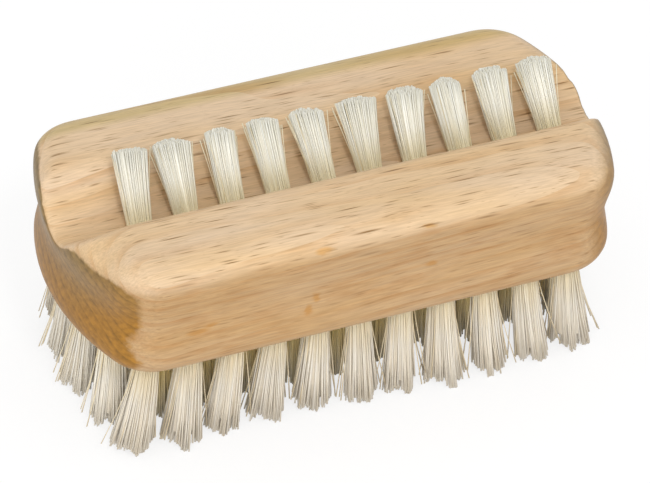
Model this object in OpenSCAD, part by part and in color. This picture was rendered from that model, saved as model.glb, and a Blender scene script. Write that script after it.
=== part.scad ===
// Double-sided nail brush: a wooden block with a finger cove all round, a field of scrubbing
// tufts underneath, and one leaning row of tufts in a trough along the top for cleaning nails.
// Millimetres. The origin is under the middle of the block, on the plane the brush rests on.

/* [Block] */
// Length of the block
block_l = 95; // [92:0.5:110]
// Width of the block
block_w = 47; // [46:0.5:54]
// Height of the wood alone
block_h = 20.5; // [19.5:0.25:26]
// Radius of the bulged ends, seen from above
end_r = 49; // [44:1:70]
// Radius of the four corners, seen from above
corner_r = 8.5; // [5:0.5:11]

/* [Edges] */
// How far the top edge rounds in from the front
top_round_w = 5.8; // [3:0.1:6.5]
// How far the top edge rounds down the front
top_round_h = 4.3; // [2:0.1:4.8]
// How far the top edge rounds in from the back
back_round_w = 4.2; // [3:0.1:6.5]
// How far the top edge rounds down the back
back_round_h = 3.1; // [2:0.1:4.8]
// Width, from the middle of the block, in which the front rounding turns into the back one
blend_w = 7; // [3:0.5:12]
// How far the bottom edge rounds in from the side
bottom_round_w = 3; // [1.5:0.1:4]
// How far the bottom edge rounds up the side
bottom_round_h = 3.2; // [1.5:0.1:4]
// Depth of the finger cove that runs all round
cove_depth = 1; // [0.4:0.1:2]

/* [Trough] */
// Width of the trough between the sharp corners that its rounding takes off
trough_w = 17.8; // [16.8:0.1:20]
// How far the trough sits behind the middle of the block
trough_shift = 0.6; // [0:0.1:1]
// Slope of the trough's two flanks, in degrees
flank_a = 45; // [42:1:47]
// Radius of the two rounded crests
crest_r = 4; // [2:0.5:5]
// Radius of the rounded bottom of the trough
bed_r = 5; // [4:0.5:6]

/* [Nail row] */
// Number of tufts in the row
nail_count = 10; // [6:1:10]
// Distance from the left-hand end of the block to the first tuft
nail_margin_left = 14.6; // [14:0.1:18]
// Distance from the right-hand end of the block to the last tuft
nail_margin_right = 7.5; // [7:0.1:10]
// How far the row sits in front of the bottom of the trough
nail_set = 2.1; // [1.8:0.1:2.4]
// Lean of the tufts towards the back, from upright, in degrees
nail_lean = 40; // [38:1:42]
// Lean towards the middle that a tuft at the very end of the block would have, in degrees
nail_gather_a = 2; // [0:0.1:4]
// Diameter of the bores
nail_bore_d = 4.2; // [3.8:0.1:4.4]
// Depth of the bores along their own axis
nail_bore_l = 5.5; // [5:0.1:5.8]
// Length of bristle beyond the wood
nail_l = 12.4; // [12:0.1:15]
// Spread of the tips, against the spread at the root
nail_fan_share = 1.9; // [1.6:0.1:2]

/* [Scrubbing side] */
// Rows of tufts across the width
scrub_rows = 5; // [3:1:5]
// Tufts in each row
scrub_columns = 11; // [7:1:11]
// Margin from the long sides to the middle of the outer rows
side_margin = 6; // [5.5:0.1:7]
// Margin from the bulged ends to the middle of the end tufts
end_margin = 7.3; // [7:0.1:9]
// How far the field sits from the middle towards the left-hand end
scrub_shift = 0.8; // [0:0.1:1]
// Diameter of the bores
scrub_bore_d = 4.2; // [3.8:0.1:4.4]
// Depth of the bores
scrub_bore_l = 6.3; // [5.6:0.1:6.5]
// Length of bristle beyond the wood
scrub_l = 17.7; // [12:0.1:20]
// Outward lean of the tufts at the two ends, in degrees
splay_end_a = 4.6; // [0:0.1:8]
// Outward lean of the tufts in the two outer rows, in degrees
splay_side_a = 2.7; // [0:0.1:8]
// Spread of the tips, against the spread at the root
scrub_fan_share = 2; // [1.6:0.1:2.1]

/* [Tufts] */
// Play between a tuft's root and its bore, on the diameter
root_play = 0.1; // [0.06:0.02:0.2]
// How far the root stops short of the mouth of a bore
root_recess = 0.8; // [0.7:0.05:1]
// How far the strands run into the root
root_grip = 0.8; // [0.6:0.05:1]
// Gap between the root and the bottom of its bore
root_gap = 0.15; // [0.1:0.05:0.3]
// Distance of a strand from the middle of the root, against the root's radius
strand_ring_share = 0.565; // [0.54:0.005:0.58]
// Thickness of a strand at the root, against the root's radius
strand_root_share = 0.41; // [0.35:0.01:0.42]
// Thickness of a strand at its tip, against its thickness at the root
strand_tip_share = 1.7; // [0.8:0.05:1.8]
// Strands that ring the middle strand of a tuft
strand_ring = 6; // [4:1:6]

/* [Anchors] */
// Thickness of the flat wire in the fold of each tuft
anchor_t = 0.4; // [0.3:0.05:0.6]
// Height of the flat wire
anchor_h = 1.6; // [1:0.1:1.8]
// Play between an anchor and the fold around it
anchor_play = 0.1; // [0.06:0.02:0.2]
// Bristle folded under the anchor
fold_t = 0.9; // [0.6:0.1:1.1]

/* [Hidden] */

// Overrun of every cut past the face it opens
over = 1;
// Facets of the rounding of each part of the skin
end_steps = 16;
corner_steps = 7;
edge_steps = 6;
cove_steps = 8;
round_steps = 8;
bore_facets = 40;

// Levels of the block, from the resting plane up
under_z = scrub_l;
top_z = under_z + block_h;
lower_rim_z = under_z + bottom_round_h;
upper_rim_z = top_z - max(top_round_h, back_round_h);

// Middle of the arc that bulges each end, and of the arc that rounds each corner
half_l = block_l / 2;
half_w = block_w / 2;
end_arc_x = half_l - end_r;
corner_y = half_w - corner_r;
corner_x = end_arc_x + sqrt(pow(end_r - corner_r, 2) - pow(corner_y, 2));
meet_a = atan2(corner_y, corner_x - end_arc_x);

// A quarter of the outline, from the middle of the right end to where the back runs straight, set in by d
function arc_point(x, y, r, a) = [x + r * cos(a), y + r * sin(a)];
function quarter(d) = concat(
    [for (i = [0:end_steps]) arc_point(end_arc_x, 0, end_r - d, meet_a * i / end_steps)],
    [for (i = [1:corner_steps])
        arc_point(corner_x, corner_y, corner_r - d, meet_a + (90 - meet_a) * i / corner_steps)]
);
function turned(points) = [for (i = [len(points) - 1:-1:0]) points[i]];
function tail(points) = [for (i = [1:len(points) - 1]) points[i]];
function flipped(points, sx, sy) = [for (p = points) [p[0] * sx, p[1] * sy]];
function outline(d) = concat(
    quarter(d),
    turned(flipped(tail(quarter(d)), -1, 1)),
    flipped(quarter(d), -1, -1),
    turned(flipped(tail(quarter(d)), 1, -1))
);

// The side of the block from the bottom to the rim of the top edge, as [distance in, height]
cove_h = upper_rim_z - lower_rim_z;
side = concat(
    [for (i = [0:edge_steps]) let (a = 90 * i / edge_steps)
        [bottom_round_w * (1 - sin(a)), lower_rim_z - bottom_round_h * cos(a)]],
    [for (i = [1:cove_steps])
        [cove_depth * (1 - cos(360 * i / cove_steps)) / 2, lower_rim_z + cove_h * i / cove_steps]]
);

// The rounding of the top edge, which turns from the front one into the back one round both ends.
// Each of its points lies on the line from the rim to the rim set in by the front rounding.
rim = outline(0);
inner_rim = outline(top_round_w);
function mixed(front, back, share) = front + (back - front) * share;
function top_point(i, a) =
    let (
        share = min(1, max(0, rim[i][1] / blend_w)),
        inward = mixed(1, back_round_w / top_round_w, share) * (1 - cos(a)),
        down = mixed(top_round_h, back_round_h, share) * (1 - sin(a))
    )
    concat(rim[i] + (inner_rim[i] - rim[i]) * inward, [top_z - down]);

// The skin: the outline swept up the side and over the edge, closed by a face at the bottom and one at the top
ring_n = len(rim);
skin_points = concat(
    [for (s = side) for (p = outline(s[0])) [p[0], p[1], s[1]]],
    [for (k = [1:edge_steps]) for (i = [0:ring_n - 1]) top_point(i, 90 * k / edge_steps)]
);
ring_count = len(skin_points) / ring_n;
skin_faces = concat(
    [for (k = [0:ring_count - 2]) for (i = [0:ring_n - 1])
        [k * ring_n + i, (k + 1) * ring_n + i, (k + 1) * ring_n + (i + 1) % ring_n]],
    [for (k = [0:ring_count - 2]) for (i = [0:ring_n - 1])
        [k * ring_n + i, (k + 1) * ring_n + (i + 1) % ring_n, k * ring_n + (i + 1) % ring_n]],
    [[for (i = [0:ring_n - 1]) i]],
    [[for (i = [ring_n - 1:-1:0]) (ring_count - 1) * ring_n + i]]
);

// The trough's section: rounded crests, straight flanks and a rounded bed, as [y, z]
flank_foot_z = top_z - trough_w / 2 * tan(flank_a);
bed_z = flank_foot_z + bed_r / cos(flank_a);
crest_y = trough_w / 2 + crest_r * tan(flank_a / 2);
crest_z = top_z - crest_r;
right_section = concat(
    [for (i = [0:round_steps]) let (a = flank_a * i / round_steps)
        [bed_r * sin(a), bed_z - bed_r * cos(a)]],
    [for (i = [round_steps:-1:0]) let (a = flank_a * i / round_steps)
        [crest_y - crest_r * sin(a), crest_z + crest_r * cos(a)]],
    [[crest_y, top_z + over]]
);
trough_section = concat(flipped(turned(tail(right_section)), -1, 1), right_section);

// Where the nail row stands: on the bed of the trough, a little in front of its lowest line
nail_y = trough_shift - nail_set;
nail_z = bed_z - sqrt(pow(bed_r, 2) - pow(nail_set, 2));
nail_first_x = nail_margin_left - half_l;
nail_last_x = half_l - nail_margin_right;
nail_x = [for (i = [0:nail_count - 1]) nail_first_x + (nail_last_x - nail_first_x) * i / (nail_count - 1)];

// Where the scrub tufts stand: rows of equal gaps, each row ending at one margin from the bulged ends
row_y = [for (j = [0:scrub_rows - 1]) (half_w - side_margin) * (2 * j / (scrub_rows - 1) - 1)];
function row_reach(y) = end_arc_x + sqrt(pow(end_r, 2) - pow(y, 2)) - end_margin;
function tuft_x(j, i) = row_reach(row_y[j]) * (2 * i / (scrub_columns - 1) - 1) - scrub_shift;
splay_x_at = tan(splay_end_a) / row_reach(0);
splay_y_at = tan(splay_side_a) / (half_w - side_margin);

// A tuft runs along its own +Z, away from the wood, which it leaves at height 0
module nail_place(i) {
    translate([nail_x[i], nail_y, nail_z]) rotate([-nail_lean, 0, 0])
        rotate([0, -nail_gather_a * nail_x[i] / half_l, 0]) children();
}

// How far a scrub tuft strays outwards along X and Y for each millimetre that it runs down
function slant_at(x, y) = [(x + scrub_shift) * splay_x_at, y * splay_y_at];
module scrub_place(x, y) {
    turn_y = -atan(slant_at(x, y)[0]);
    turn_x = atan(slant_at(x, y)[1] * cos(turn_y));
    translate([x, y, under_z]) rotate([180 + turn_x, turn_y, 0]) children();
}

module bore(d, l) {
    translate([0, 0, -l]) cylinder(d = d, h = l + over * 2, $fn = bore_facets);
}

// One strand: a four-sided bar of triangles from a square at the low end to a square at the high end
corner_signs = [[-1, -1], [1, -1], [1, 1], [-1, 1]];
function square_at(c, w) = [for (s = corner_signs) [c[0] + s[0] * w / 2, c[1] + s[1] * w / 2, c[2]]];
strand_faces = concat(
    [for (i = [0:3]) [i, i + 4, (i + 1) % 4 + 4]],
    [for (i = [0:3]) [i, (i + 1) % 4 + 4, (i + 1) % 4]],
    [[0, 1, 2], [0, 2, 3], [4, 6, 5], [4, 7, 6]]
);
module strand(low, high, low_w, high_w) {
    polyhedron(points = concat(square_at(low, low_w), square_at(high, high_w)), faces = strand_faces);
}

// Places of a tuft's strands around its middle, at a given distance
ring_turns = [for (i = [0:strand_ring - 1]) 360 * i / strand_ring];
function around(r) = concat([[0, 0]], [for (a = ring_turns) [r * cos(a), r * sin(a)]]);

// The root of a tuft: the folded end that fills the bore, with the slot in the fold where the anchor lies
module root(bore_d, bore_l) {
    root_l = bore_l - root_recess - root_gap;
    difference() {
        translate([0, 0, root_gap - bore_l]) cylinder(d = bore_d - root_play, h = root_l, $fn = bore_facets);
        translate([0, 0, root_gap + fold_t + anchor_h / 2 - bore_l])
            cube([bore_d + over, anchor_t + anchor_play * 2, anchor_h + anchor_play * 2], center = true);
    }
}

module anchor(bore_d, bore_l) {
    translate([0, 0, root_gap + fold_t + anchor_h / 2 - bore_l])
        cube([bore_d - root_play - anchor_play, anchor_t, anchor_h], center = true);
}

// One block of beech
module block() {
    color("burlywood") difference() {
        polyhedron(points = skin_points, faces = skin_faces, convexity = 6);
        rotate([90, 0, 90]) translate([trough_shift, 0, -half_l - over])
            linear_extrude(height = block_l + over * 2)
                polygon(trough_section);
        for (i = [0:nail_count - 1]) nail_place(i) bore(nail_bore_d, nail_bore_l);
        for (j = [0:scrub_rows - 1]) for (i = [0:scrub_columns - 1])
            scrub_place(tuft_x(j, i), row_y[j]) bore(scrub_bore_d, scrub_bore_l);
    }
}

// One tuft of the nail row, cut square to its own lean
module nail_tuft(i) {
    root_r = (nail_bore_d - root_play) / 2;
    root_w = root_r * strand_root_share;
    low_z = -root_recess - root_grip;
    roots = around(root_r * strand_ring_share);
    tips = around(root_r * strand_ring_share * nail_fan_share);
    color("ivory") nail_place(i) {
        root(nail_bore_d, nail_bore_l);
        for (k = [0:strand_ring])
            strand(
                [roots[k][0], roots[k][1], low_z],
                [tips[k][0], tips[k][1], nail_l],
                root_w,
                root_w * strand_tip_share
            );
    }
}

// One row of tufts on the scrubbing side, with the tips cut flat on the resting plane
module scrub_row(j) {
    root_r = (scrub_bore_d - root_play) / 2;
    root_w = root_r * strand_root_share;
    high_z = under_z + root_recess + root_grip;
    roots = around(root_r * strand_ring_share);
    tips = around(root_r * strand_ring_share * scrub_fan_share);
    color("wheat") for (i = [0:scrub_columns - 1]) {
        x = tuft_x(j, i);
        y = row_y[j];
        slant = slant_at(x, y);
        root_x = x - slant[0] * (high_z - under_z);
        root_y = y - slant[1] * (high_z - under_z);
        tip_x = x + slant[0] * under_z;
        tip_y = y + slant[1] * under_z;
        scrub_place(x, y) root(scrub_bore_d, scrub_bore_l);
        for (k = [0:strand_ring])
            strand(
                [tip_x + tips[k][0], tip_y + tips[k][1], 0],
                [root_x + roots[k][0], root_y + roots[k][1], high_z],
                root_w * strand_tip_share,
                root_w
            );
    }
}

// The flat wires that hold the nail row
module nail_anchors() {
    color("silver") for (i = [0:nail_count - 1]) nail_place(i) anchor(nail_bore_d, nail_bore_l);
}

// The flat wires that hold one scrubbing row
module scrub_anchors(j) {
    color("silver") for (i = [0:scrub_columns - 1])
        scrub_place(tuft_x(j, i), row_y[j]) anchor(scrub_bore_d, scrub_bore_l);
}

block();
for (i = [1:nail_count]) nail_tuft(i - 1);
for (j = [1:scrub_rows]) scrub_row(j - 1);
nail_anchors();
for (j = [1:scrub_rows]) scrub_anchors(j - 1);
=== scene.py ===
# %% [markdown]
# # A double-sided nail brush
#
# The brush is one block of oiled beech with bristle on both sides. The underside carries five rows
# of stiff tufts for scrubbing hands. The top has a trough along its length, where one row of finer,
# paler tufts leans across to clean under the nails.
#
# The CAD model holds every piece at its real size and in its place, and the looks keep to it. This
# file sands the block, grows real bristle in place of the CAD's few thick strands, gives each piece
# its finish, and lights the brush as a studio would.

import math

import bpy
import numpy as np
from mathutils import Matrix, Vector


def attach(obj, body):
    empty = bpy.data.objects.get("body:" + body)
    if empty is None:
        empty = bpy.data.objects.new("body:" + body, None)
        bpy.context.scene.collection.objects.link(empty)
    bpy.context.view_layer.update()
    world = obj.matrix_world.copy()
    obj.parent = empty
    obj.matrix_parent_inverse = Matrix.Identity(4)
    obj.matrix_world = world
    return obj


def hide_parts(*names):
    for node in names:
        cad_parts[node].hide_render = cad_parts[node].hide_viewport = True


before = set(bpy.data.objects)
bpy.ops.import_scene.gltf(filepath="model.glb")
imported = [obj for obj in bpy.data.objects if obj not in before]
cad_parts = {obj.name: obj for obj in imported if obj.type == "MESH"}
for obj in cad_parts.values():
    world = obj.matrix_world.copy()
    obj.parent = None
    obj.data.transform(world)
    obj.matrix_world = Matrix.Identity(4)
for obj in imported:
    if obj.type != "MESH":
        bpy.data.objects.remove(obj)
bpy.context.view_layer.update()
MM = 0.001

# %% [markdown]
# ## The camera
#
# The photograph was taken from far away with a long lens, because the ridges of the block stay
# almost parallel in it. A camera that stands 93 cm away and is zoomed in gives the same view. Its
# three axes come from three angles: the way round the brush, the height above it, and a slight tilt.

# %% Set up the camera
PHOTO_W, PHOTO_H = 650, 483
CAMERA_AZIMUTH, CAMERA_ELEVATION, CAMERA_ROLL = map(math.radians, (-23.65, 37.66, 1.71))
CAMERA_DISTANCE = 934.5 * MM
PIXELS_PER_MM = 6.09
SENSOR_MM = 36
CLIP_RANGE = (0.01, 20)
# A point in the wood, and the pixel where the photograph shows it
SIGHTED = Vector((0, 0, 28.7)) * MM
SIGHTED_AT = (323.34, 192.1)

sin_a, cos_a = math.sin(CAMERA_AZIMUTH), math.cos(CAMERA_AZIMUTH)
sin_e, cos_e = math.sin(CAMERA_ELEVATION), math.cos(CAMERA_ELEVATION)
back = Vector((sin_a * cos_e, -cos_a * cos_e, sin_e))
level_right = Vector((cos_a, sin_a, 0))
level_up = back.cross(level_right)
right = level_right * math.cos(CAMERA_ROLL) + level_up * math.sin(CAMERA_ROLL)
up = back.cross(right)

pixel = MM / PIXELS_PER_MM
aim = SIGHTED + right * (PHOTO_W / 2 - SIGHTED_AT[0]) * pixel - up * (PHOTO_H / 2 - SIGHTED_AT[1]) * pixel

lens = bpy.data.cameras.new("photo_camera")
lens.sensor_width = SENSOR_MM
lens.lens = SENSOR_MM * PIXELS_PER_MM * (CAMERA_DISTANCE / MM) / PHOTO_W
lens.clip_start, lens.clip_end = CLIP_RANGE
camera = bpy.data.objects.new("photo_camera", lens)
turned = Matrix((right, up, back)).transposed().to_4x4()
camera.matrix_world = Matrix.Translation(aim + back * CAMERA_DISTANCE) @ turned
bpy.context.scene.collection.objects.link(camera)
bpy.context.scene.camera = camera
print("lens of", round(lens.lens), "mm")

# %% [markdown]
# ## Colours and nodes
#
# Colours are written as they look on a screen and turned to the linear values that Blender mixes
# light with. One small function adds a node with its settings and links, so a material below reads
# as a list of what it is made of.

# %% Helpers for materials
def linear(code):
    """The linear colour of an sRGB hex code such as "#DCC19B"."""
    shares = [int(code[i : i + 2], 16) / 255 for i in (1, 3, 5)]
    return [c / 12.92 if c <= 0.04045 else ((c + 0.055) / 1.055) ** 2.4 for c in shares] + [1]


def add(tree, kind, inputs=None, **settings):
    """Adds a node. Each of inputs is a value, or another node's output to link."""
    node = tree.nodes.new("ShaderNode" + kind)
    for name, value in settings.items():
        setattr(node, name, value)
    for socket, value in (inputs or {}).items():
        if isinstance(value, bpy.types.NodeSocket):
            tree.links.new(value, node.inputs[socket])
        else:
            node.inputs[socket].default_value = value
    return node


def material(name):
    """An empty node material, and its tree of nodes."""
    made = bpy.data.materials.new(name)
    made.use_nodes = True
    made.node_tree.nodes.clear()
    return made, made.node_tree


print("middle grey in linear values:", round(linear("#808080")[0], 3))

# %% [markdown]
# ## Light and floor
#
# The photograph has soft light from all round and a lamp in front, about half way up. A wide low
# fill in front and a little to the left reaches in under the block between the scrubbing tufts, so
# that they are almost as bright as the nail row. Here an even white world gives the soft light and
# two round lamps the rest, at a level where a colour renders about as it is written.
#
# The picture's ground is plain white. The floor is a pale grey paper that keeps the brush's shadow,
# and it adds a little light of its own for the camera and for shiny surfaces alone, so that they
# see it white.

# %% Light the studio
WORLD_LEVEL = 0.81
LAMP_DISTANCE = 0.9
# Name of each lamp, the light it adds, its width, and the direction it stands in
LAMPS = [
    ("front_lamp", 0.22, 0.18, Vector((-0.093, -0.663, 0.743))),
    ("low_fill", 0.30, 0.50, Vector((-0.45, -0.87, 0.20))),
]


def seen_straight(tree):
    """1 where the camera or a shiny surface looks at something, 0 where soft light comes from it."""
    ray = add(tree, "LightPath").outputs
    shiny = add(tree, "Math", {0: ray["Is Glossy Ray"], 1: ray["Is Transmission Ray"]}, operation="MAXIMUM")
    return add(tree, "Math", {0: ray["Is Camera Ray"], 1: shiny.outputs[0]}, operation="MAXIMUM").outputs[0]


world = bpy.data.worlds.new("white_studio")
bpy.context.scene.world = world
world.use_nodes = True
world.node_tree.nodes.clear()
tree = world.node_tree
level = add(tree, "MapRange", {"Value": seen_straight(tree), "To Min": WORLD_LEVEL, "To Max": 1})
sky = add(tree, "Background", {"Color": linear("#FFFFFF"), "Strength": level.outputs[0]})
add(tree, "OutputWorld", {"Surface": sky.outputs[0]})

for name, added, width, direction in LAMPS:
    direction.normalize()
    light = bpy.data.lights.new(name, "AREA")
    light.shape = "DISK"
    light.size = width
    # A lamp of this power adds this share of a surface's own colour where it faces the lamp
    light.energy = added * (math.pi * LAMP_DISTANCE) ** 2
    lamp = bpy.data.objects.new(name, light)
    lamp.location = SIGHTED + direction * LAMP_DISTANCE
    lamp.rotation_euler = direction.to_track_quat("Z", "Y").to_euler()
    lamp.visible_camera = False
    bpy.context.scene.collection.objects.link(lamp)
    print(name, "of", round(light.energy, 2), "W")

# %% Lay the floor
FLOOR_SIZE = 6
FLOOR_GREY = "#ECECEC"
FLOOR_OWN_SHARE = 0.7
# Just over white in the open, so that only the shadow shows
FLOOR_SEEN = 1.02

paper, tree = material("studio_paper")
# Even grey without any shine, so that soft light comes back up under the brush
matt = add(tree, "BsdfDiffuse", {"Color": linear(FLOOR_GREY)})
own_level = (FLOOR_SEEN - (1 - FLOOR_OWN_SHARE) * linear(FLOOR_GREY)[0]) / FLOOR_OWN_SHARE
own = add(tree, "Emission", {"Color": linear("#FFFFFF"), "Strength": own_level})
share = add(tree, "Math", {0: seen_straight(tree), 1: FLOOR_OWN_SHARE}, operation="MULTIPLY")
both = add(tree, "MixShader", {"Fac": share.outputs[0], 1: matt.outputs[0], 2: own.outputs[0]})
add(tree, "OutputMaterial", {"Surface": both.outputs[0]})

bpy.ops.object.select_all(action="DESELECT")
bpy.ops.mesh.primitive_plane_add(size=FLOOR_SIZE)
floor = bpy.context.active_object
floor.name = "floor"
floor.data.materials.append(paper)
print("floor of", FLOOR_SIZE, "m")

# %% [markdown]
# ## The block
#
# The real block is milled from beech, then tumbled and sanded until no edge is sharp. The rims where
# the trough runs out at the ends are the ones that show it most.
#
# The CAD block has the right sizes but knife-sharp rims. It could be given bevels, but the trough
# cuts through rounded edges there, and bevels tangle where many short edges meet. Sanding is closer
# to the real work: a copy gets an even skin of small faces, and smoothing then wears every edge
# by the same small radius.

# %% Copy the block and give it an even skin
SKIN = 0.50 * MM
WELD = 0.005 * MM


def only(piece):
    """Selects this piece alone, because an operator acts on all that is selected."""
    bpy.ops.object.select_all(action="DESELECT")
    piece.select_set(True)
    bpy.context.view_layer.objects.active = piece


def count_triangles(piece):
    piece.data.calc_loop_triangles()
    return len(piece.data.loop_triangles)


block = bpy.data.objects.new("block_sanded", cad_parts["block"].data.copy())
bpy.context.scene.collection.objects.link(block)
only(block)
bpy.ops.object.mode_set(mode="EDIT")
bpy.ops.mesh.select_all(action="SELECT")
bpy.ops.mesh.remove_doubles(threshold=WELD)
bpy.ops.object.mode_set(mode="OBJECT")
skin = block.modifiers.new("even_skin", "REMESH")
skin.mode = "VOXEL"
skin.voxel_size = SKIN
bpy.ops.object.modifier_apply(modifier=skin.name)
print("block:", count_triangles(block), "triangles")

# %% [markdown]
# Hand work leaves no block quite even. The front ridge is worn lower at its left-hand end, and the
# lower right-hand corner is rounder than the others. The right-hand rim of the trough stands a
# little fuller, and the left-hand rim has been sanded more. All this could be sculpted by eye, but
# places and moves in numbers are easier to put right. So in edit mode a few points are chosen by
# their place and moved with proportional editing, which takes the wood around them along, less and
# less with distance. No move is much over a millimetre, but the fuller rim still makes the block half
# a millimetre longer than the CAD's. The left-hand rim is smoothed alone, before a last light sanding
# of everything.

# %% Shape the uneven places, round a rim and sand the block
# Middle of each uneven place, how far around it points are picked, how far the move reaches, and the move
UNEVEN = [
    ((-46.3, -10.5, 36.2), 2.2, 8.5, (0.4, 0.1, -1.2)),
    ((44.0, -18.5, 20.5), 3.0, 9.0, (-0.45, 0.2, 0.35)),
    ((47.4, 2.4, 32.2), 2.2, 5.5, (1.0, 0.0, 0.0)),
]
RIM_AT, RIM_REACH, RIM_SANDING = (-47.0, 0.6, 34.0), 8.5, 12
SANDING = 3
# How far one pass of sanding takes a point towards the middle of its neighbours
SANDING_SHARE = 0.5


def pick_points(piece, centre, reach):
    """In edit mode, selects the points within reach of a centre and no others."""
    bpy.ops.object.mode_set(mode="OBJECT")
    points = np.empty(len(piece.data.vertices) * 3)
    piece.data.vertices.foreach_get("co", points)
    near = np.linalg.norm(points.reshape(-1, 3) - np.array(centre) * MM, axis=1) < reach * MM
    bpy.ops.object.mode_set(mode="EDIT")
    bpy.ops.mesh.select_all(action="DESELECT")
    bpy.ops.object.mode_set(mode="OBJECT")
    piece.data.vertices.foreach_set("select", near)
    bpy.ops.object.mode_set(mode="EDIT")
    return int(near.sum())


bpy.ops.object.mode_set(mode="EDIT")
bpy.ops.mesh.select_mode(type="VERT")
for centre, pick, reach, move in UNEVEN:
    print("points moved:", pick_points(block, centre, pick))
    bpy.ops.transform.translate(
        value=Vector(move) * MM,
        use_proportional_edit=True,
        proportional_edit_falloff="SMOOTH",
        proportional_size=reach * MM,
    )
print("points on the rim:", pick_points(block, RIM_AT, RIM_REACH))
bpy.ops.mesh.vertices_smooth(factor=SANDING_SHARE, repeat=RIM_SANDING)
bpy.ops.mesh.select_all(action="SELECT")
bpy.ops.mesh.vertices_smooth(factor=SANDING_SHARE, repeat=SANDING)
bpy.ops.object.mode_set(mode="OBJECT")
bpy.ops.object.shade_smooth()
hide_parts("block")
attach(block, "root")

# %% [markdown]
# ## Oiled beech
#
# Beech is a pale pinkish wood with a fine even grain, and oil makes it a little yellow and satin. A
# picture of wood could be wrapped round the block, but it would break at every edge. So the pattern
# is solid: it fills the block like real wood, and a ring that crosses an edge goes on down the side.
# It is drawn from the object's own coordinates, in millimetres. They are tilted a little and bent
# by slow waves first, because no trunk grows straight.

# %% Lay the grain
GRAIN_TILT = (0, math.radians(1.2), math.radians(1.5))
WAVE_MM = (30, 14, 14)
SWAY_MM = (0, 1.6, 1.6)
BROAD_MM = (34, 7, 5)
BROAD_TONES = {"From Min": 0.36, "From Max": 0.64}
PINKISH, YELLOWISH = "#DEC2A0", "#DBBA8E"
# From skin that lies nearly level to skin that stands steep, by the upward share of what it faces
STEEPNESS = {"From Min": 0.7, "From Max": 0.2}
# Settings of a Mix node that goes from one colour to another, and of one that tints a colour
BLEND = {"data_type": "RGBA"}
TINT = {"data_type": "RGBA", "blend_type": "MULTIPLY"}


def shrunk(tree, vector, size):
    """Coordinates in which a pattern of unit size gets this size in mm."""
    return add(tree, "VectorMath", {0: vector, 1: [1 / s for s in size]}, operation="MULTIPLY").outputs[0]


beech, tree = material("oiled_beech")
place = add(tree, "TexCoord").outputs
mm = add(tree, "VectorMath", {0: place["Object"], "Scale": 1 / MM}, operation="SCALE").outputs[0]
axis = add(tree, "SeparateXYZ", {0: mm}).outputs
tilted = add(tree, "Mapping", {"Vector": mm, "Rotation": GRAIN_TILT}).outputs[0]
at = shrunk(tree, tilted, WAVE_MM)
waves = add(tree, "TexNoise", {"Vector": at, "Scale": 1, "Detail": 1}).outputs["Color"]
drift = [-s / 2 for s in SWAY_MM]
sway = add(tree, "VectorMath", {0: waves, 1: SWAY_MM, 2: drift}, operation="MULTIPLY_ADD").outputs[0]
grain = add(tree, "VectorMath", {0: tilted, 1: sway}, operation="ADD").outputs[0]

# What the skin faces: the shares along the block, to the back and up, and how steep it is
facing = add(tree, "SeparateXYZ", {0: place["Normal"]}).outputs
lengthwise = add(tree, "Math", {0: facing[0]}, operation="ABSOLUTE").outputs[0]
steep = add(tree, "MapRange", {"Value": facing[2], **STEEPNESS}).outputs[0]

# Broad drifts from pinkish to yellowish wood
at = shrunk(tree, grain, BROAD_MM)
broad = add(tree, "TexNoise", {"Vector": at, "Scale": 1, "Detail": 2}).outputs["Fac"]
tone = add(tree, "MapRange", {"Value": broad, **BROAD_TONES}).outputs[0]
colour = add(tree, "Mix", {0: tone, 6: linear(PINKISH), 7: linear(YELLOWISH)}, **BLEND).outputs[2]
print("nodes of the grain:", len(tree.nodes))

# %% [markdown]
# The growth rings show as faint lines along the block, because it is sawn nearly flat to them.
# Straight stripes would look printed. Instead a wave in rings round an axis far under the block
# draws them, so that they curve as in a trunk. Each ends in a darker line of late wood, strong in
# some places and faint in others. Fine fibres make the wood between them streaky.

# %% Draw rings and fibres
RING_MM = 1.7
RING_AXIS = (0, 20, -50)
# How far apart the rings of a wave texture of scale 1 are
WAVE_SPACING = math.pi / 10
# The share of a ring at which its late wood begins
LATE_FROM = 0.45
PATCH_MM = (15, 3, 2)
LATE_STRENGTH = {"From Min": 0.38, "From Max": 0.68, "To Min": 0.08, "To Max": 0.48}
LATE_WOOD = "#C4935A"
# Fibres are finer than a pixel in the real wood, and drawn coarser here so that they show
FIBRE_MM = (5, 0.26, 0.26)
FIBRE_SHADE = {"From Min": 0.3, "From Max": 0.7, "To Min": 0.87, "To Max": 1.08}

ringed = add(tree, "VectorMath", {0: grain, 1: RING_AXIS}, operation="SUBTRACT").outputs[0]
rings = add(
    tree,
    "TexWave",
    {
        "Vector": ringed,
        "Scale": WAVE_SPACING / RING_MM,
        "Distortion": 0.8,
        "Detail": 1,
        "Detail Scale": 0.4,
    },
    wave_type="RINGS",
    rings_direction="X",
    wave_profile="SAW",
).outputs["Fac"]
late = add(
    tree,
    "MapRange",
    {"Value": rings, "From Min": LATE_FROM},
    interpolation_type="SMOOTHSTEP",
).outputs[0]
at = shrunk(tree, grain, PATCH_MM)
patchy = add(tree, "TexNoise", {"Vector": at, "Scale": 1, "Detail": 2}).outputs["Fac"]
strong = add(tree, "MapRange", {"Value": patchy, **LATE_STRENGTH}).outputs[0]
line = add(tree, "Math", {0: late, 1: strong}, operation="MULTIPLY").outputs[0]
colour = add(tree, "Mix", {0: line, 6: colour, 7: linear(LATE_WOOD)}, **BLEND).outputs[2]

at = shrunk(tree, grain, FIBRE_MM)
fibre = add(tree, "TexNoise", {"Vector": at, "Scale": 1, "Detail": 2}).outputs["Fac"]
streak = add(tree, "MapRange", {"Value": fibre, **FIBRE_SHADE}).outputs[0]
colour = add(tree, "VectorMath", {0: colour, "Scale": streak}, operation="SCALE").outputs[0]
print("rings and fibres, nodes so far:", len(tree.nodes))

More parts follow.
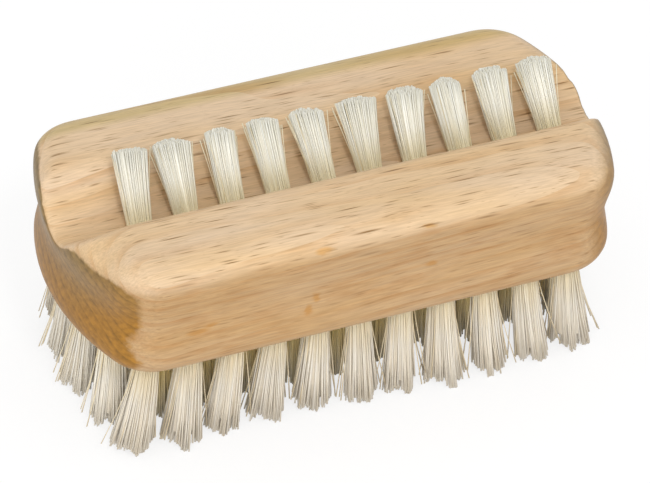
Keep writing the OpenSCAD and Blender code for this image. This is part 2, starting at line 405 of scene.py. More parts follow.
# %% [markdown]
# The rays of beech are thin upright ribbons of dark cells. On the top and the flanks they are cut
# across and show as short dark dashes that all point along the grain. On the front face they lie
# flat and hardly show, and on the ends they don't show as dashes at all. They could be painted one
# by one. Here each is a cell of a stretched Voronoi pattern, in three sizes, and chance makes some
# of them small, so that no two places look alike.

# %% Draw the rays
# Size in mm of the space that holds one ray, then its largest share of that space and its strength
RAYS = [((10, 0.6, 0.8), 0.45, 1), ((6, 0.42, 0.6), 0.42, 0.8), ((2.4, 0.3, 0.4), 0.36, 0.35)]
# The share of the spaces that holds no ray
EMPTY_SHARE = 0.15
RAY_BROWN = "#97804F"
# From skin that faces the ends of the block to skin that faces across the grain
ACROSS_GRAIN = {"From Min": 0.5, "From Max": 0.15}
# How much of a ray is lost where the skin is steep
STEEP_LOSS = 0.55

dark = None
for cell, size, strength in RAYS:
    cells = add(tree, "TexVoronoi", {"Vector": shrunk(tree, grain, cell), "Scale": 1}).outputs
    luck = add(tree, "SeparateColor", {0: cells["Color"]}).outputs[0]
    reach = add(tree, "MapRange", {"Value": luck, "From Min": EMPTY_SHARE, "To Max": size}).outputs[0]
    spot = add(
        tree,
        "MapRange",
        {"Value": cells["Distance"], "From Max": reach, "To Min": strength, "To Max": 0},
        interpolation_type="SMOOTHSTEP",
    ).outputs[0]
    dark = spot if dark is None else add(tree, "Math", {0: dark, 1: spot}, operation="MAXIMUM").outputs[0]
across = add(tree, "MapRange", {"Value": lengthwise, **ACROSS_GRAIN}).outputs[0]
plainer = add(tree, "Math", {0: steep, 1: -STEEP_LOSS, 2: 1}, operation="MULTIPLY_ADD").outputs[0]
dark = add(tree, "Math", {0: dark, 1: across}, operation="MULTIPLY").outputs[0]
dark = add(tree, "Math", {0: dark, 1: plainer}, operation="MULTIPLY").outputs[0]
colour = add(tree, "Mix", {0: dark, 6: colour, 7: linear(RAY_BROWN)}, **TINT).outputs[2]
print("sizes of rays:", len(RAYS))

# %% [markdown]
# The steep faces are painted darker than the top, as shade, and they have warm blotches. The
# rounded back edge is painted darker and a little green, as shade from the dimmer light behind the
# brush. A few orange stains with ragged edges mark the front. Each tint multiplies the wood's own
# colour, as oil does: the grain stays to be seen through it, which paint over the wood would hide.

# %% Age the wood and paint its shade
STEEP_SHADE = "#D9CEBC"
BLOTCH_MM = (7, 3, 1.5)
BLOTCHED = {"From Min": 0.48, "From Max": 0.7, "To Max": 0.5}
BLOTCH_TINT = "#ECD7BA"
# Where the painted shade of the back edge begins and is full, in mm back from the middle
BACK_EDGE = {"From Min": 17.2, "From Max": 19.2}
BACK_EDGE_SHADE = "#E7E8CB"
# Middle and half size in mm of each orange stain
STAINS = [
    ((-9.5, -23.0, 35.7), (1.9, 1.5, 0.6)),
    ((9.0, -23.0, 35.7), (1.8, 1.5, 0.5)),
    ((9.6, -22.5, 27.7), (1.3, 1.5, 0.8)),
    ((-12.0, -23.0, 24.4), (1.0, 1.5, 1.2)),
    ((-10.6, -22.6, 26.4), (0.9, 1.5, 1.2)),
    ((-31.2, -22.8, 25.2), (2.6, 1.5, 0.7)),
    ((-28.9, -22.7, 25.9), (1.8, 1.5, 0.5)),
]
RAG_MM = (2, 2, 0.8)
RAG_REACH = (1.6, 1.6, 1.0)
STAIN_EDGE = {"From Min": 1.1, "From Max": 0.3, "To Max": 0.8}
STAIN_TINT = "#F7DEAA"

# Painted shade: the steep faces darker than the top
colour = add(tree, "Mix", {0: steep, 6: colour, 7: linear(STEEP_SHADE)}, **TINT).outputs[2]
at = shrunk(tree, grain, BLOTCH_MM)
blotch = add(tree, "TexNoise", {"Vector": at, "Scale": 1, "Detail": 3}).outputs["Fac"]
blotch = add(tree, "MapRange", {"Value": blotch, **BLOTCHED}).outputs[0]
blotch = add(tree, "Math", {0: blotch, 1: steep}, operation="MULTIPLY").outputs[0]
colour = add(tree, "Mix", {0: blotch, 6: colour, 7: linear(BLOTCH_TINT)}, **TINT).outputs[2]
# Painted shade: the rounded back edge darker and a little green
behind = add(tree, "MapRange", {"Value": axis[1], **BACK_EDGE}).outputs[0]
colour = add(tree, "Mix", {0: behind, 6: colour, 7: linear(BACK_EDGE_SHADE)}, **TINT).outputs[2]

at = shrunk(tree, mm, RAG_MM)
rag = add(tree, "TexNoise", {"Vector": at, "Scale": 1, "Detail": 2}).outputs["Color"]
drift = [-r / 2 for r in RAG_REACH]
ragged = add(tree, "VectorMath", {0: rag, 1: RAG_REACH, 2: drift}, operation="MULTIPLY_ADD").outputs[0]
blotted = add(tree, "VectorMath", {0: mm, 1: ragged}, operation="ADD").outputs[0]
stain = None
for centre, half in STAINS:
    off = add(tree, "VectorMath", {0: blotted, 1: centre}, operation="SUBTRACT").outputs[0]
    far = add(tree, "VectorMath", {0: shrunk(tree, off, half)}, operation="LENGTH").outputs["Value"]
    spot = add(tree, "MapRange", {"Value": far, **STAIN_EDGE}, interpolation_type="SMOOTHSTEP").outputs[0]
    stain = spot if stain is None else add(tree, "Math", {0: stain, 1: spot}, operation="MAXIMUM").outputs[0]
colour = add(tree, "Mix", {0: stain, 6: colour, 7: linear(STAIN_TINT)}, **TINT).outputs[2]
print("stains:", len(STAINS))

# %% [markdown]
# End grain drinks more oil than any other face, and turns brown above and orange below. A second
# material on the end faces would stop at a straight line. Here the soaking comes in where the skin
# faces along the block, with an edge that is frayed along the fibres. On the left-hand end the
# rounded top is spared, most of all in front, and the soaked part ends sharply. On the right-hand
# end it fades in slowly. The end colours are partly painted shade as well: they are darker than
# oil alone makes them, and the sharp edge on the left-hand end also paints where its shade begins.

# %% Soak the end grain and paint its shade
# What skin that faces up takes off the soaking: on the left from front to back, and on the right
SPARED_LEFT = {"From Min": 4, "From Max": 14, "To Min": -0.75, "To Max": -0.1}
SPARED_RIGHT = -0.15
# The lengthwise share at which the soaking begins, and the one where it is full
BEGIN_LEFT, BEGIN_RIGHT = 0.56, 0.18
FULL_LEFT, FULL_RIGHT = 0.74, 0.9
FRAY_MM, FRAY = (4, 0.8, 0.8), 0.18
# From brown wood to orange wood, by the height and by the place towards the front, in mm
ORANGE_LOW = {"From Min": 35, "From Max": 22}
ORANGE_FRONT = {"From Min": -8, "From Max": -19, "To Max": 0.5}
SOAKED_AND_SHADED_BROWN, SOAKED_AND_SHADED_ORANGE = "#8A7247", "#A07026"
PORE_MM = (2, 1.1, 0.7)
PORE_SHADE = {"From Min": 0.32, "From Max": 0.66, "To Min": 0.8, "To Max": 1.14}
RING_SHADE = 0.2

upward = add(tree, "Math", {0: facing[2], 1: 0}, operation="MAXIMUM").outputs[0]
rightward = add(tree, "Math", {0: axis[0], 1: 0}, operation="GREATER_THAN").outputs[0]
spared = add(tree, "MapRange", {"Value": axis[1], **SPARED_LEFT}).outputs[0]
spared = add(tree, "Mix", {0: rightward, 2: spared, 3: SPARED_RIGHT}, data_type="FLOAT").outputs[0]
begin = add(tree, "Mix", {0: rightward, 2: BEGIN_LEFT, 3: BEGIN_RIGHT}, data_type="FLOAT").outputs[0]
full = add(tree, "Mix", {0: rightward, 2: FULL_LEFT, 3: FULL_RIGHT}, data_type="FLOAT").outputs[0]
endwise = add(tree, "Math", {0: upward, 1: spared, 2: lengthwise}, operation="MULTIPLY_ADD").outputs[0]
at = shrunk(tree, mm, FRAY_MM)
fray = add(tree, "TexNoise", {"Vector": at, "Scale": 1, "Detail": 2}).outputs["Fac"]
frayed = add(tree, "Math", {0: fray, 1: FRAY, 2: endwise}, operation="MULTIPLY_ADD").outputs[0]
ends = add(
    tree,
    "MapRange",
    {"Value": frayed, "From Min": begin, "From Max": full},
    interpolation_type="SMOOTHSTEP",
).outputs[0]

# Soaked by oil and also painted darker as shade: brown above and orange below
low = add(tree, "MapRange", {"Value": axis[2], **ORANGE_LOW}).outputs[0]
front = add(tree, "MapRange", {"Value": axis[1], **ORANGE_FRONT}).outputs[0]
orange_share = add(tree, "Math", {0: low, 1: front}, operation="ADD", use_clamp=True).outputs[0]
soaked = add(tree, "Mix", {0: orange_share, 6: linear(SOAKED_AND_SHADED_BROWN), 7: linear(SOAKED_AND_SHADED_ORANGE)}, **BLEND).outputs[2]
at = shrunk(tree, mm, PORE_MM)
pores = add(tree, "TexNoise", {"Vector": at, "Scale": 1, "Detail": 3}).outputs["Fac"]
mottle = add(tree, "MapRange", {"Value": pores, **PORE_SHADE}).outputs[0]
banded = add(tree, "Math", {0: late, 1: -RING_SHADE, 2: mottle}, operation="MULTIPLY_ADD").outputs[0]
soaked = add(tree, "VectorMath", {0: soaked, "Scale": banded}, operation="SCALE").outputs[0]
colour = add(tree, "Mix", {0: ends, 6: colour, 7: soaked}, **BLEND).outputs[2]
print("nodes with the end grain:", len(tree.nodes))

# %% [markdown]
# Oil leaves a satin surface, not a varnish. The fibres stand up a little where it dries, and the
# rays lie lower. That relief is far too fine to model, so a bump on the shader stands for it.

# %% Finish the wood
OILED = {"To Min": 0.36, "To Max": 0.50}
OIL_SHINE = 0.3
RELIEF_MM, RELIEF_STRENGTH = 0.06, 0.3

rough = add(tree, "MapRange", {"Value": fibre, **OILED}).outputs[0]
relief = add(tree, "Math", {0: fibre, 1: dark}, operation="SUBTRACT").outputs[0]
bump = add(tree, "Bump", {"Height": relief, "Strength": RELIEF_STRENGTH, "Distance": RELIEF_MM * MM})
# Satin wood, so that a rounded corner that faces the lamp shows a soft bright spot
satin = add(
    tree,
    "BsdfPrincipled",
    {"Base Color": colour, "Roughness": rough, "Specular IOR Level": OIL_SHINE, "Normal": bump.outputs[0]},
)
add(tree, "OutputMaterial", {"Surface": satin.outputs[0]})
block.data.materials.clear()
block.data.materials.append(beech)
print("nodes of the wood:", len(tree.nodes))

# %% [markdown]
# ## One strand of bristle
#
# A tuft is a bunch of hairs folded in two round a short flat wire, and the wire is driven into a
# bore. So each strand runs from the fold at the bottom of the bore, past the wire, out through the
# mouth, and fans out to its cut tip.
#
# Hair curves could draw this, but a curve is not a solid mesh. Here one strand is modelled once, as
# a four-sided rod of unit size with six segments, and then bent into its place for each hair of
# each tuft. Four sides are enough for a hair about a fifth of a millimetre thick. Shears leave a
# small burr, so the cut end is a little wider.

# %% Model the strand
STRAND_SIDES = 4
STRAND_SEGMENTS = 6
TIP_SHARE = 1.35

bpy.ops.object.select_all(action="DESELECT")
bpy.ops.mesh.primitive_cylinder_add(vertices=STRAND_SIDES, radius=1, depth=1, location=(0, 0, 0.5))
strand = bpy.context.active_object
bpy.ops.object.transform_apply(location=True, rotation=False, scale=False)
bpy.ops.object.mode_set(mode="EDIT")
bpy.ops.mesh.select_mode(type="EDGE")
bpy.ops.mesh.select_all(action="DESELECT")
bpy.ops.object.mode_set(mode="OBJECT")
# The long edges run from one end to the other, over more than half of the unit length
for edge in strand.data.edges:
    low, high = (strand.data.vertices[i].co.z for i in edge.vertices)
    edge.select = abs(high - low) > 0.5
bpy.ops.object.mode_set(mode="EDIT")
bpy.ops.mesh.subdivide(number_cuts=STRAND_SEGMENTS - 1)
bpy.ops.mesh.select_mode(type="FACE")
bpy.ops.mesh.select_all(action="DESELECT")
bpy.ops.object.mode_set(mode="OBJECT")
# The face at the tip is the only one that looks up
for face in strand.data.polygons:
    face.select = face.normal.z > 0.5
bpy.ops.object.mode_set(mode="EDIT")
bpy.ops.transform.resize(value=(TIP_SHARE, TIP_SHARE, 1))
bpy.ops.object.mode_set(mode="OBJECT")

unit_points = np.array([v.co[:] for v in strand.data.vertices])
unit_faces = [list(f.vertices) for f in strand.data.polygons]
# The levels of the points are whole numbers, one for each station that a strand is bent through
unit_level = np.rint(unit_points[:, 2] * STRAND_SEGMENTS).astype(int)
bpy.data.objects.remove(strand)
print("one strand:", len(unit_points), "points,", len(unit_faces), "faces")

# %% [markdown]
# ## The body of a tuft
#
# The hairs deep inside a tuft are never seen one by one. Thousands more could be bent into place,
# but one closed body gives the same view: where the outer hairs part, its pale side shows, as
# packed hairs would. It is a ring of points at each step along the tuft, closed at both ends.

# %% Join the faces of the body
CORE_SIDES = 48
CORE_STEPS = [-0.06, 0, 0.33, 0.66, 1]

last_ring = (len(CORE_STEPS) - 1) * CORE_SIDES
core_faces = [list(range(CORE_SIDES))[::-1], list(range(last_ring, last_ring + CORE_SIDES))]
for ring in range(0, last_ring, CORE_SIDES):
    for k in range(CORE_SIDES):
        following = (k + 1) % CORE_SIDES
        core_faces.append([ring + k, ring + following, ring + following + CORE_SIDES, ring + k + CORE_SIDES])
print("body of a tuft:", len(core_faces), "faces")

# %% [markdown]
# ## A tuft
#
# All strands of a tuft are bent at once with arrays of numbers. Each strand has a place in the bore
# and a place at the tips, which lies further out. Neighbours draw together round a leader, and the
# further a strand stands from its leader, the shorter it ends, so the tuft ends in small ragged
# points, as real bristle does. A few thin stray hairs stand off on either side. All chance comes
# from seeded draws, so the brush is the same every time.
#
# Each strand also gets a narrow strip of the UV map: across, a number that picks its own tint, and
# along it, how far it is from the root. The bristle material reads its colours from there. The map
# has one fixed name in every piece.

# %% Bend strands into a tuft
SEED = 5314
GOLDEN_ANGLE = math.pi * (3 - math.sqrt(5))
UV_NAME = "OFBake"
STRIP = 0.006
# The flat wire and the fold under it, and the slack at the bottom of a bore
WIRE_ROOM, WIRE_HEIGHT, FOLD, ROOT_GAP = 0.3, 1.6, 0.9, 0.15
# How high over the bottom of the bore the fold lies, and how narrow it is by the strands beside the wire
FOLD_UP, FOLD_SHARE = 0.4, 0.35
# Where a strand bends outside the bore, and how much of its way out is curved
BENDS = [0.32, 0.66, 1]
CURVED = 0.2
# Chance in each strand: its root by its thickness, the pull of its leader, its cut, and its thickness
ROOT_CHANCE, PULL_CHANCE, CUT_CHANCE, THICK_CHANCE = 0.25, (0.6, 1.3), 0.4, (0.85, 1.15)
# Numbers that pick the tint of common hairs, of the body in the middle and of strays
HAIR_TINTS, CORE_TINTS, STRAY_TINTS = (0.02, 0.78), (0.1, 0.7), (0.86, 1)
STRAY_THICKNESS = 0.75
# The outermost hairs on a side, one in this many, are those that may stray
STRAY_PART = 8


def way_out(start, end, t):
    """Where a strand is across the tuft, at the share t of its length outside the bore."""
    return start + (end - start) * ((1 - CURVED) * t + CURVED * t * t)


def tuft_body(rng, bore_r, tips, lengths, clump):
    """The bundle of the one body in the middle of a tuft."""
    turns = np.arange(CORE_SIDES) * 2 * math.pi / CORE_SIDES
    rim = clump["core"] * bore_r * np.stack([np.cos(turns), np.sin(turns)], 1)
    rim_ends, rim_length = tips(rim * clump["core_taper"]), lengths(rim)
    core = np.zeros((len(CORE_STEPS), CORE_SIDES, 3))
    core_end = 1 - clump["core_back"] / rim_length.max()
    for i, step in enumerate(CORE_STEPS):
        core[i, :, :2] = way_out(rim, rim_ends, step * core_end)
        core[i, :, 2] = rim_length * (step * core_end)
    tints = np.tile(rng.uniform(*CORE_TINTS, CORE_SIDES), len(CORE_STEPS))
    places = np.stack([tints, np.repeat(CORE_STEPS, CORE_SIDES)], 1)
    return core.reshape(1, -1, 3), places[None], core_faces, False


def tuft(rng, count, bore_r, bore_l, hair_r, tips, lengths, clump, strays):
    """Two bundles of alike bodies: the strands of one tuft, and the body in its middle.

    They are in the tuft's own frame in mm, with the mouth of the bore at 0 and the tips towards +Z.
    tips(roots) gives each strand's place at the tips, lengths(roots) its length outside the bore.
    """
    k = np.arange(count)
    spread = (bore_r - hair_r) * np.sqrt((k + 0.5) / count)
    roots = np.stack([spread * np.cos(k * GOLDEN_ANGLE), spread * np.sin(k * GOLDEN_ANGLE)], 1)
    roots += rng.normal(0, hair_r * ROOT_CHANCE, roots.shape)
    ends = tips(roots)
    length = lengths(roots)

    # Each strand leans towards the leader of its clump and is cut with it
    leaders = rng.choice(count, clump["count"], replace=False)
    gap = np.linalg.norm(roots[:, None] - roots[leaders][None], axis=2)
    own = leaders[gap.argmin(1)]
    off = np.linalg.norm(ends - ends[own], axis=1)
    pull = clump["pull"] * rng.uniform(*PULL_CHANCE, (count, 1))
    ends += (ends[own] - ends) * pull + rng.normal(0, clump["loose"], roots.shape)
    cut = rng.normal(0, clump["ragged"], count)
    length += cut[own] - clump["point"] * off + rng.normal(0, clump["ragged"] * CUT_CHANCE, count)

    # Stray hairs come from the two outer edges of the tuft, and are thin and golden
    tint = rng.uniform(*HAIR_TINTS, count)
    thick = hair_r * rng.uniform(*THICK_CHANCE, count)
    order = np.argsort(roots[:, 0])
    for side, few in ((-1, strays["left"]), (1, strays["right"])):
        edge = order[: count // STRAY_PART] if side < 0 else order[-(count // STRAY_PART) :]
        stray = rng.choice(edge, few, replace=False)
        ends[stray, 0] += side * rng.uniform(*strays["reach"], few)
        length[stray] += rng.uniform(*strays["longer"], few)
        tint[stray] = rng.uniform(*STRAY_TINTS, few)
        thick[stray] *= STRAY_THICKNESS
    body = tuft_body(rng, bore_r, tips, lengths, clump)

    # Stations along a strand: the fold, both edges of the wire, the mouth, then the bends to the tip
    mouth = STRAND_SEGMENTS - len(BENDS)
    at = np.zeros((count, STRAND_SEGMENTS + 1, 3))
    parted = np.where(roots[:, 1] < 0, -1, 1) * (WIRE_ROOM + hair_r) + roots[:, 1] * (1 - WIRE_ROOM / bore_r)
    parted = np.clip(parted, -bore_r + hair_r, bore_r - hair_r)
    narrow = np.sqrt(np.maximum((bore_r - hair_r) ** 2 - parted**2, 0))
    beside = np.stack([np.clip(roots[:, 0], -narrow, narrow), parted], 1)
    wire_top = -bore_l + ROOT_GAP + FOLD + WIRE_HEIGHT
    inside = ((-bore_l + FOLD_UP, FOLD_SHARE), (wire_top - WIRE_HEIGHT, 1), (wire_top, 1))
    for i, (z, apart) in enumerate(inside):
        at[:, i, :2] = beside * (1, apart)
        at[:, i, 2] = z
    at[:, mouth, :2] = roots
    curl = rng.normal(0, clump["curl"], roots.shape)
    for i, t in enumerate(BENDS):
        at[:, mouth + 1 + i, :2] = way_out(roots, ends, t) + curl * math.sin(math.pi * t)
        at[:, mouth + 1 + i, 2] = length * t

    # Each point of the unit strand goes to its station, and out from there by the strand's thickness
    around = unit_points[None, :, :2] * thick[:, None, None]
    points = at[:, unit_level] + np.pad(around, ((0, 0), (0, 0), (0, 1)))
    strip = tint[:, None] * (1 - 2 * STRIP) + STRIP + unit_points[None, :, 0] * STRIP
    along = np.clip(at[:, unit_level, 2] / length[:, None], 0, 1)
    return [(points, np.stack([strip, along], 2), unit_faces, True), body]


print("stations along a strand:", STRAND_SEGMENTS + 1)

# %% [markdown]
# A tuft could be an object of its own, and the row a family of them. But the CAD has one node for
# each nail tuft and one for each scrubbing row, so what takes a node's place is joined to one mesh.

# %% Join tufts to one piece
def bristle_piece(name, tufts):
    """One mesh piece from tufts, each a list of bundles of alike bodies.

    A bundle is points in mm in the shared frame, UV places, the faces of one body, and whether they
    are shaded smooth.
    """
    bundles = [bundle for each in tufts for bundle in each]
    faces, smooth, start = [], [], 0
    for points, _, body_faces, is_smooth in bundles:
        for _ in points:
            faces += [[i + start for i in face] for face in body_faces]
            start += points.shape[1]
        smooth += [is_smooth] * (len(points) * len(body_faces))
    points = np.concatenate([bundle[0].reshape(-1, 3) for bundle in bundles]) * MM
    places = np.concatenate([bundle[1].reshape(-1, 2) for bundle in bundles])
    mesh = bpy.data.meshes.new(name)
    mesh.from_pydata(points.tolist(), [], faces)
    corner = np.array([i for face in faces for i in face])
    layer = mesh.uv_layers.new(name=UV_NAME)
    layer.uv.foreach_set("vector", places[corner].ravel())
    mesh.polygons.foreach_set("use_smooth", smooth)
    piece = bpy.data.objects.new(name, mesh)
    bpy.context.scene.collection.objects.link(piece)
    return piece


print("colours are read from the map", UV_NAME)

# %% [markdown]
# ## Bristle
#
# Natural bristle is pale, and no two hairs have the same tint: most are ivory, some nearly white,
# some a little tan, and the strays are golden. Light that enters a hair comes out of its sides and
# goes on into its neighbours, so real tufts are bright deep in between the hairs.
#
# Light under the surface of hairs as thin as these would render too dark. So the hairs are plain
# and nearly white, and the pale body in the middle sends light back out between them. Deep in the
# scrubbing field the light has come through many hairs and has turned golden, so the inner hairs
# get a golden tint there, which is painted light. Every hair is also painted darker and warmer
# towards its root, as shade and warm light from the wood. The outer rows scrub most, and are a
# little duller.

# %% Make the bristle materials
# Which hairs are pale, tan and golden, by the number that picks their tint
PALE_HAIRS = {"From Min": 0.25, "From Max": 0.05}
TAN_HAIRS = {"From Min": 0.5, "From Max": 0.78}
GOLDEN_FROM = 0.82
# From the middle of a hair to its root and to its tip
TO_ROOT = {"From Min": 0.5, "From Max": 0}
TO_TIP = {"From Min": 0.5, "From Max": 1}
# Distance from the field's middle, to the sides and along it, and the share of a hair's length
OUTER_ROWS = {"From Min": 15 * MM, "From Max": 17 * MM}
INNER_ROWS = {"From Min": 17 * MM, "From Max": 14 * MM}
INNER_COLUMNS = {"From Min": 38 * MM, "From Max": 36 * MM}
UPPER_PART = {"From Min": 1.15, "From Max": 0.45}
HAIR_SHEEN = {"To Min": 0.42, "To Max": 0.28}


def make_bristle(name, common, pale, tan, golden, root, tip, deep=None, dull_row=None):
    """A bristle material. The last two colours are for a field of tufts: its inside and its outer rows."""
    hair, tree = material(name)
    strip = add(tree, "SeparateXYZ", {0: add(tree, "UVMap", uv_map=UV_NAME).outputs[0]}).outputs
    lucky = add(tree, "MapRange", {"Value": strip[0], **PALE_HAIRS}).outputs[0]
    colour = add(tree, "Mix", {0: lucky, 6: linear(common), 7: linear(pale)}, **BLEND).outputs[2]
    dull = add(tree, "MapRange", {"Value": strip[0], **TAN_HAIRS}).outputs[0]
    colour = add(tree, "Mix", {0: dull, 6: colour, 7: linear(tan)}, **BLEND).outputs[2]
    warm = add(tree, "Math", {0: strip[0], 1: GOLDEN_FROM}, operation="GREATER_THAN").outputs[0]
    colour = add(tree, "Mix", {0: warm, 6: colour, 7: linear(golden)}, **BLEND).outputs[2]
    # Painted shade with warm light from the wood: each hair darker and warmer towards its root
    near = add(tree, "MapRange", {"Value": strip[1], **TO_ROOT}).outputs[0]
    colour = add(tree, "Mix", {0: near, 6: colour, 7: linear(root)}, **TINT).outputs[2]
    far = add(tree, "MapRange", {"Value": strip[1], **TO_TIP}).outputs[0]
    colour = add(tree, "Mix", {0: far, 6: colour, 7: linear(tip)}, **TINT).outputs[2]
    # Painted light: a golden tint deep inside the field, where light has come through many hairs
    if deep:
        spot = add(tree, "SeparateXYZ", {0: add(tree, "TexCoord").outputs["Object"]}).outputs
        from_mid_y = add(tree, "Math", {0: spot[1]}, operation="ABSOLUTE").outputs[0]
        outer = add(tree, "MapRange", {"Value": from_mid_y, **OUTER_ROWS}).outputs[0]
        colour = add(tree, "Mix", {0: outer, 6: colour, 7: linear(dull_row)}, **TINT).outputs[2]
        inside = add(tree, "MapRange", {"Value": from_mid_y, **INNER_ROWS}).outputs[0]
        from_mid_x = add(tree, "Math", {0: spot[0]}, operation="ABSOLUTE").outputs[0]
        within = add(tree, "MapRange", {"Value": from_mid_x, **INNER_COLUMNS}).outputs[0]
        upper = add(tree, "MapRange", {"Value": strip[1], **UPPER_PART}).outputs[0]
        inside = add(tree, "Math", {0: inside, 1: within}, operation="MULTIPLY").outputs[0]
        inside = add(tree, "Math", {0: inside, 1: upper}, operation="MULTIPLY").outputs[0]
        colour = add(tree, "Mix", {0: inside, 6: colour, 7: linear(deep)}, **BLEND).outputs[2]
    # Bristle with a soft sheen along each hair, a little stronger on the palest hairs
    rough = add(tree, "MapRange", {"Value": lucky, **HAIR_SHEEN}).outputs[0]
    sheen = add(tree, "BsdfPrincipled", {"Base Color": colour, "Roughness": rough})
    add(tree, "OutputMaterial", {"Surface": sheen.outputs[0]})
    return hair


pale_bristle = make_bristle(
    "pale_bristle",
    common="#F4F1E4",
    pale="#F9F8EF",
    tan="#F0EBD9",
    golden="#EFE3C5",
    root="#F7EFD2",
    tip="#FDFDFC",
)
cream_bristle = make_bristle(
    "cream_bristle",
    common="#F4EEE0",
    pale="#FAF6EC",
    tan="#F0E7D4",
    golden="#F1E3C4",
    root="#F6ECCE",
    tip="#FDFAF6",
    deep="#FFE79C",
    dull_row="#F4F2F0",
)
for hair in (pale_bristle, cream_bristle):
    print(hair.name, "nodes:", len(hair.node_tree.nodes))

# %% [markdown]
# ## The nail row
#
# Ten tufts lean forty degrees towards the far ridge. They are cut by hand shears, so each has its
# own crown, its own width at the tips and its own small lean to the side. A few golden hairs stand
# off on both sides of each tuft.

# %% Plant the nail row
HALF_L = 47.5
TROUGH_Y, TROUGH_Z = -1.5, 31.83
NAIL_FIRST, NAIL_LAST = -32.9, 40.0
NAIL_LEAN = math.radians(-40)
NAIL_GATHER = math.radians(2)
NAIL_BORE_R, NAIL_BORE_L = 2.1, 5.5
NAIL_LENGTH = 12.5
# How much shorter a tuft is cut for each mm to its right
NAIL_CUT_SLOPE = 0.15
NAIL_HAIR_R = 0.09
NAIL_HAIRS = 480
# How the hairs of a tuft gather, with lengths in mm, and what body stands in its middle
NAIL_CLUMP = {
    "count": 70,  # clumps in a tuft
    "pull": 0.12,  # share of the way that a hair is drawn to its leader
    "loose": 0.06,  # how far its tip then strays
    "ragged": 0.13,  # how unevenly the clumps are cut
    "point": 0.1,  # how much shorter a hair is for each mm from its leader
    "curl": 0.05,  # how far a hair bows on its way
    "core": 0.86,  # width of the body, as a share of the bore
    "core_taper": 0.94,  # its width at the tips, as a share of the tuft
    "core_back": 0.8,  # how far it ends behind the tips
}
# How many hairs stray to each side, how far in mm, and how much longer or shorter they are
NAIL_STRAYS = {"left": 4, "right": 2, "reach": (0.15, 1.3), "longer": (-1.4, 0)}
# Of each tuft from the left: sideways lean at the tips, width there, and how far its edges are cut back
NAIL_TUFTS = [
    (0.9, 5.9, 0.6),
    (0.0, 6.5, 0.8),
    (0.4, 5.0, 0.8),
    (-0.1, 5.5, 0.5),
    (-0.4, 5.8, 0.7),
    (0.5, 6.8, 0.8),
    (0.9, 6.4, 1.3),
    (0.1, 5.3, 1.6),
    (0.3, 6.1, 1.0),
    (0.2, 6.0, 0.8),
]


def nail_tuft(i, lean, width, crown):
    """The bundles of one nail tuft, in the shared frame in mm."""
    rng = np.random.default_rng(SEED + i)
    x = NAIL_FIRST + (NAIL_LAST - NAIL_FIRST) * i / (len(NAIL_TUFTS) - 1)
    fan = width / 2 / NAIL_BORE_R

    def tips(roots):
        return roots * fan + (lean, 0)

    def lengths(roots):
        out = np.linalg.norm(roots, axis=1) / NAIL_BORE_R
        return NAIL_LENGTH - crown * out**2 - NAIL_CUT_SLOPE * roots[:, 0]

    bundles = tuft(
        rng,
        NAIL_HAIRS,
        NAIL_BORE_R,
        NAIL_BORE_L,
        NAIL_HAIR_R,
        tips,
        lengths,
        NAIL_CLUMP,
        NAIL_STRAYS,
    )
    turn = np.array(Matrix.Rotation(NAIL_LEAN, 3, "X") @ Matrix.Rotation(-x / HALF_L * NAIL_GATHER, 3, "Y"))
    return [(points @ turn.T + (x, TROUGH_Y, TROUGH_Z), *rest) for points, *rest in bundles]


for i, (lean, width, crown) in enumerate(NAIL_TUFTS):
    piece = bristle_piece(f"nail_bristle_{i + 1}", [nail_tuft(i, lean, width, crown)])
    piece.data.materials.append(pale_bristle)
    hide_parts(f"nail_tuft_{i + 1}")
    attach(piece, "root")
print("nail row:", len(NAIL_TUFTS), "tufts of", count_triangles(piece), "triangles")

# %% [markdown]
# ## The scrubbing side
#
# Fifty-five tufts of coarser, creamier bristle stand in five rows. They spread towards the ends and
# the long sides, and are trimmed to one plane, not very exactly. The brush rests on the longest
# hairs, so none goes below the floor.

# %% Plant the scrubbing side
WOOD_Z = 17.7
HALF_W = 23.5
END_R = 49
SIDE_MARGIN, END_MARGIN, FIELD_SHIFT = 6, 7.3, 0.8
SCRUB_ROWS, SCRUB_COLUMNS = 5, 11
SPLAY_END, SPLAY_SIDE = math.radians(4.6), math.radians(2.7)
SCRUB_BORE_R, SCRUB_BORE_L = 2.1, 6.3
SCRUB_HAIR_R = 0.115
SCRUB_HAIRS = 335
# How much shorter a common hair is than the way to the floor
SCRUB_TRIM = 0.2
SCRUB_CLUMP = {
    "count": 18,
    "pull": 0.38,
    "loose": 0.18,
    "ragged": 0.5,
    "point": 1.1,
    "curl": 0.1,
    "core": 0.84,
    "core_taper": 0.78,
    "core_back": 2.6,
}
SCRUB_STRAYS = {"left": 3, "right": 3, "reach": (0.4, 2.4), "longer": (-1.0, 0.4)}
# Of each tuft behind the front row: how far its tips stray by chance, and between which widths it is
HIDDEN_STRAY, HIDDEN_WIDTHS = 0.45, (6.6, 7.8)
# Of each tuft in the front row from the left: how far its tips stray to the right and back, and their width
FRONT_TUFTS = [
    (-1.4, 0.5, 7.4),
    (-0.7, 0.0, 7.4),
    (-0.9, 0.7, 5.8),
    (-0.8, 1.0, 7.2),
    (-0.2, 1.2, 7.2),
    (0.4, -0.6, 5.8),
    (-0.4, -0.5, 6.2),
    (-0.3, -1.0, 7.0),
    (0.3, -0.7, 6.2),
    (0.6, -0.7, 5.6),
    (0.4, 0.9, 7.8),
]


def row_reach(y):
    """Half the length of a row, which keeps one margin from the bulged ends."""
    return HALF_L - END_R + math.sqrt(END_R**2 - y**2) - END_MARGIN


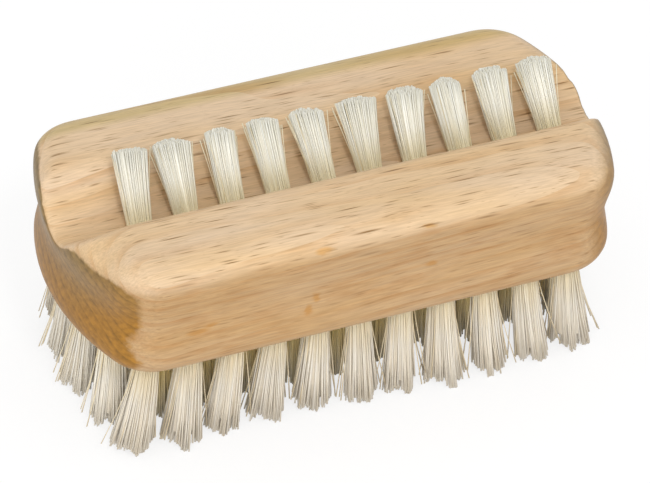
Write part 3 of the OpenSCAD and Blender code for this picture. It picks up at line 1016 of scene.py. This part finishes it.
def scrub_tuft(j, i):
    """The bundles of one scrubbing tuft, by its row and its place in the row from the left."""
    rng = np.random.default_rng(SEED + 100 * (j + 1) + i)
    outer = HALF_W - SIDE_MARGIN
    y = outer * (2 * j / (SCRUB_ROWS - 1) - 1)
    x = row_reach(y) * (2 * i / (SCRUB_COLUMNS - 1) - 1)
    if j == 0:
        stray_x, stray_y, width = FRONT_TUFTS[i]
    else:
        stray_x, stray_y = rng.normal(0, HIDDEN_STRAY, 2)
        width = rng.uniform(*HIDDEN_WIDTHS)
    # In the tuft's own frame +Z is down and +Y is to the front
    slant = np.array([x * math.tan(SPLAY_END) / row_reach(0), -y * math.tan(SPLAY_SIDE) / outer])
    fan = width / 2 / SCRUB_BORE_R

    def tips(roots):
        return roots * fan + slant * WOOD_Z + (stray_x, -stray_y)

    def lengths(roots):
        return np.full(len(roots), WOOD_Z - SCRUB_TRIM)

    bundles = tuft(
        rng,
        SCRUB_HAIRS,
        SCRUB_BORE_R,
        SCRUB_BORE_L,
        SCRUB_HAIR_R,
        tips,
        lengths,
        SCRUB_CLUMP,
        SCRUB_STRAYS,
    )
    # The bore slants with the tuft, and no hair is longer than the way from the wood to the floor
    for points, *_ in bundles:
        points[..., :2] += slant * np.minimum(points[..., 2:], 0)
        points[..., 2] = np.minimum(points[..., 2], WOOD_Z)
    return [(points * (1, -1, -1) + (x - FIELD_SHIFT, y, WOOD_Z), *rest) for points, *rest in bundles]


for j in range(SCRUB_ROWS):
    piece = bristle_piece(f"scrub_bristle_{j + 1}", [scrub_tuft(j, i) for i in range(SCRUB_COLUMNS)])
    piece.data.materials.append(cream_bristle)
    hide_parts(f"scrub_row_{j + 1}")
    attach(piece, "root")
    print(piece.name, count_triangles(piece), "triangles")

# %% [markdown]
# ## The wires
#
# The flat wires that hold the tufts are cut from drawn steel wire, deep in the bores where nobody
# sees them. They are the CAD's own pieces and only get their metal, with the fine lengthwise lines
# that drawing through a die leaves.

# %% Make the wire
# Lines from a die are finer still, and drawn coarser here so that they show
DRAWN_MM = (3, 0.08, 0.08)
GREY_STEEL, PALE_STEEL = "#A9AAAC", "#D2D2D0"
DRAWN_GLOSS = {"To Min": 0.25, "To Max": 0.45}

wire, tree = material("anchor_wire")
place = add(tree, "TexCoord").outputs["Object"]
mm = add(tree, "VectorMath", {0: place, "Scale": 1 / MM}, operation="SCALE").outputs[0]
at = shrunk(tree, mm, DRAWN_MM)
lines = add(tree, "TexNoise", {"Vector": at, "Scale": 1, "Detail": 2}).outputs["Fac"]
colour = add(tree, "Mix", {0: lines, 6: linear(GREY_STEEL), 7: linear(PALE_STEEL)}, **BLEND).outputs[2]
rough = add(tree, "MapRange", {"Value": lines, **DRAWN_GLOSS}).outputs[0]
# Bright grey metal with a lengthwise gleam
metal = add(tree, "BsdfPrincipled", {"Base Color": colour, "Metallic": 1, "Roughness": rough})
add(tree, "OutputMaterial", {"Surface": metal.outputs[0]})

wire_names = ["nail_anchors"] + [f"scrub_anchors_{j + 1}" for j in range(SCRUB_ROWS)]
for name in wire_names:
    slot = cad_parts[name].material_slots[0]
    slot.link = "OBJECT"
    slot.material = wire
print("pieces of wire:", len(wire_names))

# %% [markdown]
# ## Finish
#
# The picture is shown without any film look. The looks must not change the object's dimensions.
# The fuller rim is the one place where the dressed brush stands out of the CAD model's size.

# %% Show the picture
bpy.context.scene.view_settings.view_transform = "Standard"
